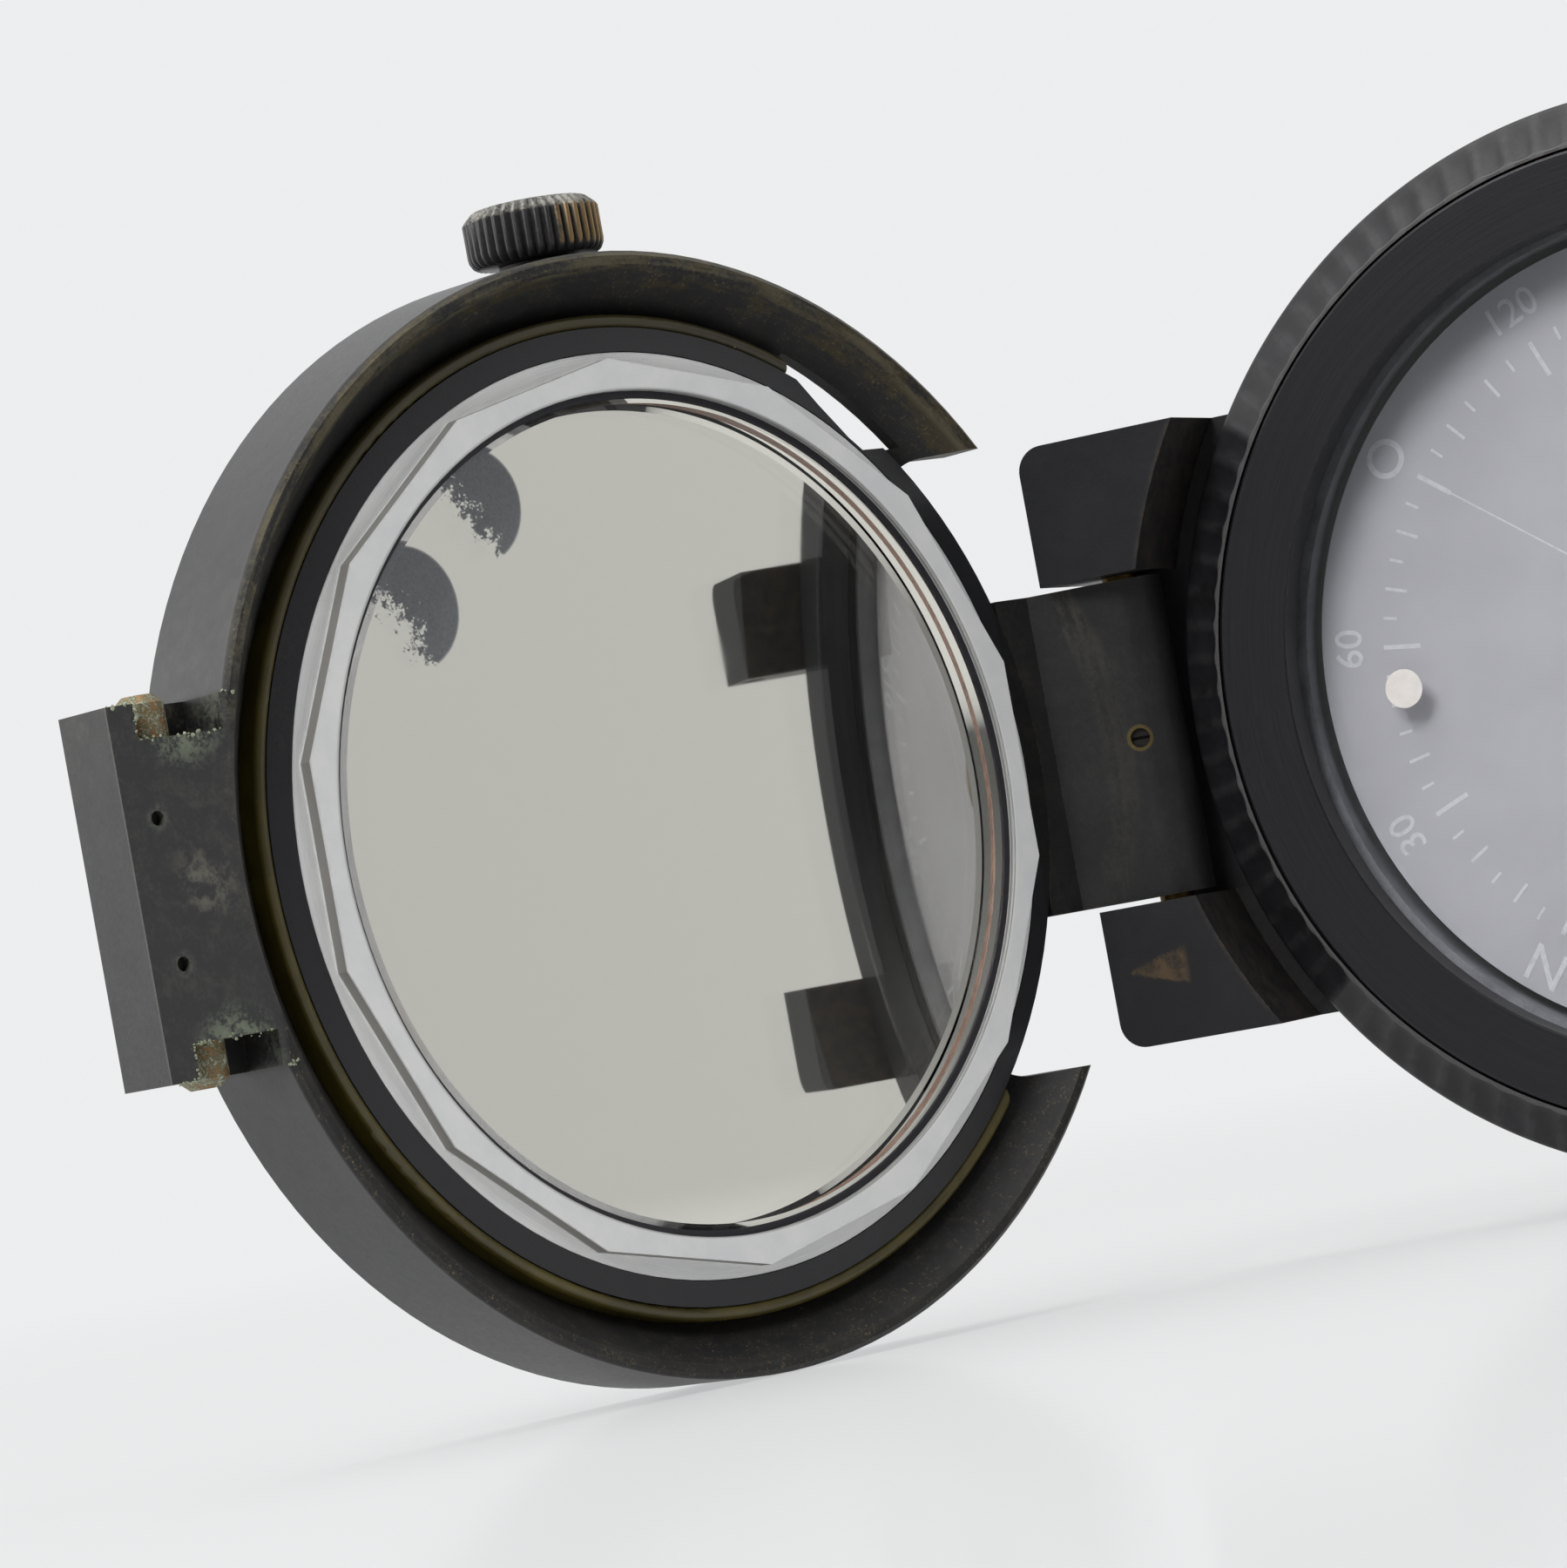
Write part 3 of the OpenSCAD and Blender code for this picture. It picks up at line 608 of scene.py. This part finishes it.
def knob_wave(radius, height, angle):
    """V-grooves of the knob's straight knurl."""
    if radius < 3.0 or height < KNOB_BASE + 0.05:
        return radius
    share = (angle * KNOB_RIBS / TAU) % 1.0
    groove = max(0.0, 1 - abs(share - 0.5) / 0.36)
    return radius - KNOB_RIB_DEPTH * groove * min(1.0, (radius - 2.9) / 0.5)


def make_knob(material):
    r, base, top = KNOB_RADIUS, KNOB_BASE, KNOB_TOP
    profile = [
        (0.0, 25.45), (0.78, 25.45), (0.78, base + 0.02), (2.9, base + 0.02), (r - 0.42, base + 0.06),
        (r - 0.2, base + 0.2), (r - 0.04, base + 0.5), (r, base + 0.75), (r, top - 0.62),
        (r - 0.08, top - 0.5), (r - 0.55, top - 0.05), (r - 0.75, top + 0.03), (2.2, top + 0.05), (0.0, top + 0.05),
    ]
    place = LID @ Matrix.Translation((0, 0, KNOB_HEIGHT)) @ Matrix.Rotation(-math.pi / 2, 4, "X")
    mesh = turned("knob_knurled", profile, place, KNOB_RIBS * 12, knob_wave)
    piece = add_piece("knob_knurled", mesh, material, "knob", 32)
    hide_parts("clamp_knob")


def make_mirror(glass, silver, edge_paint):
    """Glass pane, the silvering behind it, and the coppery paint round the silvering's edge."""
    r, front, back = MIRROR_RADIUS, MIRROR_FRONT, MIRROR_BACK
    pane_profile = [(0, back), (r, back), (r, front - 0.3), (r - 0.3, front), (0, front)]
    pane = add_piece("mirror_pane", turned("mirror_pane", pane_profile, LID, 320), glass, "lid")
    edge = r - 0.16
    film = [(0, back - 0.04), (edge, back - 0.04), (edge, back - 0.012), (0, back - 0.012)]
    add_piece("mirror_film", turned("mirror_film", film, LID, 320), silver, "lid")
    rim = [(edge, back - 0.04), (r, back - 0.04), (r, back - 0.012), (edge, back - 0.012)]
    add_piece("mirror_rim_paint", turned("mirror_rim_paint", rim, LID, 320), edge_paint, "lid")
    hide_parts("mirror_glass")


def joined_boxes(name, boxes, place):
    """Thin raised bars as one mesh. Each is (near radius, far radius, half width, angle)."""
    verts, faces = [], []
    low, high = CARD_FACE + 0.002, CARD_FACE + 0.02
    for near, far, half, angle in boxes:
        start = len(verts)
        c, s = math.cos(angle), math.sin(angle)
        for z in (low, high):
            for r, t in ((near, -half), (far, -half), (far, half), (near, half)):
                verts.append((r * c - t * s, r * s + t * c, z))
        for face in ((3, 2, 1, 0), (4, 5, 6, 7), (0, 1, 5, 4), (1, 2, 6, 5), (2, 3, 7, 6), (3, 0, 4, 7)):
            faces.append(tuple(start + i for i in face))
    return mesh_from(name, verts, faces, place)


def bearing(degrees):
    """Angle in the case's frame of a bearing on the card."""
    return math.radians(NORTH_ANGLE - degrees)


def make_scale(material):
    """Degree ticks, and thin lines through the centre at the cardinal points."""
    bars = []
    for degrees in range(0, 360, 5):
        if degrees % 30 == 0:
            bars.append((17.1, 19.3, 0.13, bearing(degrees)))
        elif degrees % 10 == 0:
            bars.append((18.0, 19.3, 0.09, bearing(degrees)))
        else:
            bars.append((18.5, 19.3, 0.08, bearing(degrees)))
    for degrees in range(0, 360, 90):
        bars.append((2.6, 17.1, 0.045, bearing(degrees)))
    add_piece("dial_ticks", joined_boxes("dial_ticks", bars, CASE), material, "card")


def make_numerals(material):
    """Cardinal letters and degree numbers round the card, their tops outwards."""
    labels = {0: "N", 90: "O", 180: "S", 270: "W"}
    joined = bmesh.new()
    for degrees in range(0, 360, 30):
        words = labels.get(degrees, str(degrees))
        curve = bpy.data.curves.new("label", "FONT")
        curve.body = words
        curve.size = 3.1 if degrees in labels else 2.3
        curve.align_x = "CENTER"
        curve.align_y = "CENTER"
        curve.extrude = 0.008
        curve.offset = 0.012
        curve.resolution_u = 6
        label = bpy.data.objects.new("label", curve)
        bpy.context.scene.collection.objects.link(label)
        bpy.context.view_layer.update()
        mesh = bpy.data.meshes.new_from_object(label.evaluated_get(bpy.context.evaluated_depsgraph_get()))
        angle = bearing(degrees)
        spin = Matrix.Rotation(angle - math.pi / 2, 4, "Z")
        mesh.transform(CASE @ spin @ Matrix.Translation((0, 21.3, CARD_FACE + 0.012)))
        joined.from_mesh(mesh)
        bpy.data.objects.remove(label)
        bpy.data.meshes.remove(mesh)
    bmesh.ops.remove_doubles(joined, verts=joined.verts, dist=0.002 * MM)
    mesh = bpy.data.meshes.new("dial_numerals")
    joined.to_mesh(mesh)
    joined.free()
    add_piece("dial_numerals", mesh, material, "card")


def make_crust(material):
    """Lumps of corrosion along the notches where the plungers come out of the latch block."""
    source = random.Random(5)
    shape = bmesh.new()
    lines = []
    for side in (1, -1):
        edge = 9.8 * side
        inner = 7.9 * side
        lines += [
            (Vector((-35.2, inner, 0)), Vector((-29.9, inner, 0)), 26),
            (Vector((-36.8, edge, 0)), Vector((-35.3, edge, 0)), 12),
            (Vector((-29.7, edge, 0)), Vector((-28.9, edge, 0)), 8),
            (Vector((-35.2, inner, 0)), Vector((-35.2, edge, 0)), 12),
        ]
    for start, end, count in lines:
        for _ in range(count):
            centre = start.lerp(end, source.random()) + Vector([source.gauss(0, 0.07) for _ in range(3)])
            reach = source.uniform(0.05, 0.15)
            points = []
            for _ in range(14):
                way = Vector([source.gauss(0, 1) for _ in range(3)]).normalized()
                points.append(shape.verts.new(LID @ (centre + way * reach * source.uniform(0.7, 1.0))))
            hull = bmesh.ops.convex_hull(shape, input=points)
            loose = [v for v in hull["geom_interior"] if isinstance(v, bmesh.types.BMVert)]
            bmesh.ops.delete(shape, geom=loose, context="VERTS")
    mesh = bpy.data.meshes.new("corrosion")
    shape.to_mesh(mesh)
    shape.free()
    add_piece("corrosion", mesh, material, "lid", 60)


# -------------------------------------------------------- camera and studio

CAMERA_AT = LID @ Vector((-238.505, -11.577, 295.211))
CAMERA_AZIMUTH = OPEN_ANGLE - math.radians(140.306)
CAMERA_ELEVATION = math.radians(1.820)
CAMERA_ROLL = math.radians(-10.322)
CAMERA_LENS = 160.09
SENSOR = 36.0


def make_camera():
    forward = Vector((
        math.sin(CAMERA_AZIMUTH) * math.cos(CAMERA_ELEVATION),
        math.cos(CAMERA_AZIMUTH) * math.cos(CAMERA_ELEVATION),
        math.sin(CAMERA_ELEVATION),
    ))
    level = forward.cross(Vector((0, 0, 1))).normalized()
    above = level.cross(forward)
    right = level * math.cos(CAMERA_ROLL) + above * math.sin(CAMERA_ROLL)
    up = right.cross(forward)
    data = bpy.data.cameras.new("camera")
    data.lens = CAMERA_LENS
    data.sensor_width = SENSOR
    data.clip_start = 0.02
    data.clip_end = 20
    camera = bpy.data.objects.new("camera", data)
    turn = Matrix((right, up, -forward)).transposed()
    camera.matrix_world = Matrix.Translation(CAMERA_AT) @ turn.to_4x4()
    bpy.context.scene.collection.objects.link(camera)
    bpy.context.scene.camera = camera


def make_world():
    """Soft studio surround: bright behind the object, darker where the camera stands."""
    world = bpy.data.worlds.new("studio")
    world.use_nodes = True
    tree = world.node_tree
    coords = tree.nodes.new("ShaderNodeTexCoord")
    dot = tree.nodes.new("ShaderNodeVectorMath")
    dot.operation = "DOT_PRODUCT"
    dot.inputs[1].default_value = Vector((-0.55, 0.83, 0.1)).normalized()
    tree.links.new(coords.outputs["Generated"], dot.inputs[0])
    ramp = tree.nodes.new("ShaderNodeValToRGB")
    stops = ((0.0, 0.1), (0.18, 0.24), (0.28, 0.55), (0.5, 0.72), (0.75, 0.84), (1.0, 0.86))
    marks = ramp.color_ramp.elements
    while len(marks) < len(stops):
        marks.new(0.5)
    for mark, (place, value) in zip(marks, stops):
        mark.position = place
        mark.color = (value * 0.985, value * 0.99, value * 1.0, 1)
    share = tree.nodes.new("ShaderNodeMapRange")
    share.inputs["From Min"].default_value = -1
    tree.links.new(dot.outputs["Value"], share.inputs["Value"])
    tree.links.new(share.outputs["Result"], ramp.inputs["Fac"])
    tree.links.new(ramp.outputs["Color"], tree.nodes["Background"].inputs["Color"])
    bpy.context.scene.world = world


def make_light(name, at, aim, size, power):
    data = bpy.data.lights.new(name, "AREA")
    data.shape = "DISK"
    data.size = size
    data.energy = power
    lamp = bpy.data.objects.new(name, data)
    lamp.location = at
    lamp.rotation_euler = (Vector(aim) - Vector(at)).to_track_quat("-Z", "Y").to_euler()
    bpy.context.scene.collection.objects.link(lamp)


def make_floor():
    """Pale table with a faint, soft reflection, which fades into the surround further out."""
    height = (cad_box[0].z - 0.00005)
    rings = [0.02 * 1.25 ** k for k in range(26)]
    segments = 96
    verts = [(0, 0, height)]
    for r in rings:
        for k in range(segments):
            angle = TAU * k / segments
            verts.append((r * math.cos(angle), r * math.sin(angle), height))
    faces = [(0, 1 + k, 1 + (k + 1) % segments) for k in range(segments)]
    for i in range(len(rings) - 1):
        for k in range(segments):
            a, b = 1 + i * segments + k, 1 + i * segments + (k + 1) % segments
            faces.append((a, a + segments, b + segments, b))
    mesh = bpy.data.meshes.new("table")
    mesh.from_pydata(verts, [], faces)
    material = bpy.data.materials.new("table")
    material.use_nodes = True
    tree = material.node_tree
    matt = tree.nodes.new("ShaderNodeBsdfDiffuse")
    matt.inputs["Color"].default_value = (0.2, 0.2, 0.2, 1)
    glow = tree.nodes.new("ShaderNodeEmission")
    glow.inputs["Color"].default_value = (0.985, 0.99, 1.0, 1)
    glow.inputs["Strength"].default_value = 0.54
    both = tree.nodes.new("ShaderNodeAddShader")
    tree.links.new(matt.outputs[0], both.inputs[0])
    tree.links.new(glow.outputs[0], both.inputs[1])
    gloss = tree.nodes.new("ShaderNodeBsdfGlossy")
    gloss.inputs["Roughness"].default_value = 0.12
    gloss.inputs["Color"].default_value = (0.95, 0.95, 0.95, 1)
    table_top = tree.nodes.new("ShaderNodeMixShader")
    table_top.inputs[0].default_value = 0.1
    tree.links.new(both.outputs[0], table_top.inputs[1])
    tree.links.new(gloss.outputs[0], table_top.inputs[2])
    coords = tree.nodes.new("ShaderNodeTexCoord")
    reach = tree.nodes.new("ShaderNodeVectorMath")
    reach.operation = "LENGTH"
    tree.links.new(coords.outputs["Object"], reach.inputs[0])
    fade = Field(tree, reach.outputs["Value"]).step(0.1, 0.45)
    clear = tree.nodes.new("ShaderNodeBsdfTransparent")
    faded = tree.nodes.new("ShaderNodeMixShader")
    tree.links.new(fade.socket, faded.inputs[0])
    tree.links.new(table_top.outputs[0], faded.inputs[1])
    tree.links.new(clear.outputs[0], faded.inputs[2])
    tree.links.new(faded.outputs[0], tree.nodes["Material Output"].inputs["Surface"])
    mesh.materials.append(material)
    table = bpy.data.objects.new("table", mesh)
    bpy.context.scene.collection.objects.link(table)


bpy.context.scene.view_settings.view_transform = "Standard"
make_camera()
make_world()
make_floor()
make_light("overhead", (-0.25, -0.1, 0.9), (0, 0, 0), 0.8, 5.0)
make_light("left_front", (-0.75, -0.30, 0.12), (-0.03, -0.02, 0), 0.9, 2.8)
make_light("key", (-0.10, -0.75, 0.55), (0.0, 0.0, 0), 0.35, 3.5)

# ------------------------------------------------------------ finished nodes

brass = simple_finish("bare_brass", CASE, rgb(150, 118, 62), rgb(178, 144, 84), 1.2, 131, 0.36, 0.9)
lid_brass = simple_finish("lid_brass", LID, rgb(92, 76, 44), rgb(150, 118, 66), 0.6, 133, 0.42, 0.8)
# Painted shade: brass painted nearly black for the shade in the hinge set screw's hole. The plunger dowels use the
# same finish.
brass_in_painted_shade = simple_finish("brass_in_painted_shade", LID, rgb(14, 12, 10), rgb(30, 25, 17), 0.3, 135, 0.6, 0.4)
steel = simple_finish("steel", CASE, rgb(150, 152, 156), rgb(182, 184, 188), 0.5, 137, 0.28, 1.0)
magnet = simple_finish("magnet", CASE, rgb(66, 67, 72), rgb(88, 90, 95), 0.7, 139, 0.4, 0.9)
inner = simple_finish("inner_aluminium", CASE, rgb(118, 118, 124), rgb(138, 138, 143), 1.5, 141, 0.5, 0.3)
tray = simple_finish("tray_aluminium", LID, rgb(130, 131, 133), rgb(156, 157, 158), 1.0, 143, 0.4, 0.9)
rubber = simple_finish("black_rubber", CASE, rgb(18, 18, 19), rgb(27, 27, 28), 0.8, 145, 0.62, 0.0)
gasket = simple_finish("mirror_gasket", LID, rgb(26, 24, 30), rgb(38, 36, 42), 0.8, 147, 0.5, 0.0)
luminous = simple_finish("luminous", CASE, rgb(216, 208, 203), rgb(226, 218, 213), 0.5, 149, 0.7, 0.0, 0.04)
copper_paint = simple_finish("copper_paint", LID, rgb(168, 132, 112), rgb(190, 154, 134), 1.0, 151, 0.45, 0.4)
black_knob_brass = simple_finish("washer_brass", LID, rgb(34, 33, 31), rgb(50, 46, 38), 0.5, 153, 0.45, 0.5)
plunger_brass = corroded_brass()
paint_of_lid = lid_paint()

FINISHES = {
    "case_body": case_paint(),
    "back_cover": cover_paint(),
    "back_screws": brass,
    "dial_cup": inner,
    "pivot_pin": steel,
    "compass_card": dial_paint(),
    "card_magnet": magnet,
    "jewel_cap": brass,
    "luminous_index": luminous,
    "crystal_gasket": rubber,
    "crystal": clear_glass("crystal_glass", CASE, 161),
    "top_ring": ring_finish(),
    "bezel_ring": rubber,
    "bezel_wave_ring": steel,
    "lid_frame": paint_of_lid,
    "hinge_tab": paint_of_lid,
    "seal_ring": seal_rubber(),
    "lock_ring": satin_aluminium(),
    "mirror_glass": gasket,
    "mirror_gasket": gasket,
    "backing_pad": card_fabric(),
    "mirror_tray": tray,
    "hinge_pin": lid_brass,
    "hinge_set_screw": brass_in_painted_shade,
    "plunger_upper": plunger_brass,
    "plunger_lower": plunger_brass,
    "plunger_spring": steel,
    "plunger_dowels": brass_in_painted_shade,
    "clamp_knob": gasket,
    "knob_washer": black_knob_brass,
}
for node_name, material in FINISHES.items():
    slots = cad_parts[node_name].material_slots
    for slot in slots:
        slot.material = material

make_bezel(bezel_finish())
make_knob(knob_finish())
make_mirror(clear_glass("mirror_glass_clear", LID, 171), mirror_silver(), copper_paint)
marks = mark_paint()
make_scale(marks)
make_numerals(marks)
make_crust(simple_finish("crust", LID, rgb(120, 132, 108), rgb(176, 178, 156), 0.25, 181, 0.85, 0.0, 0.05))
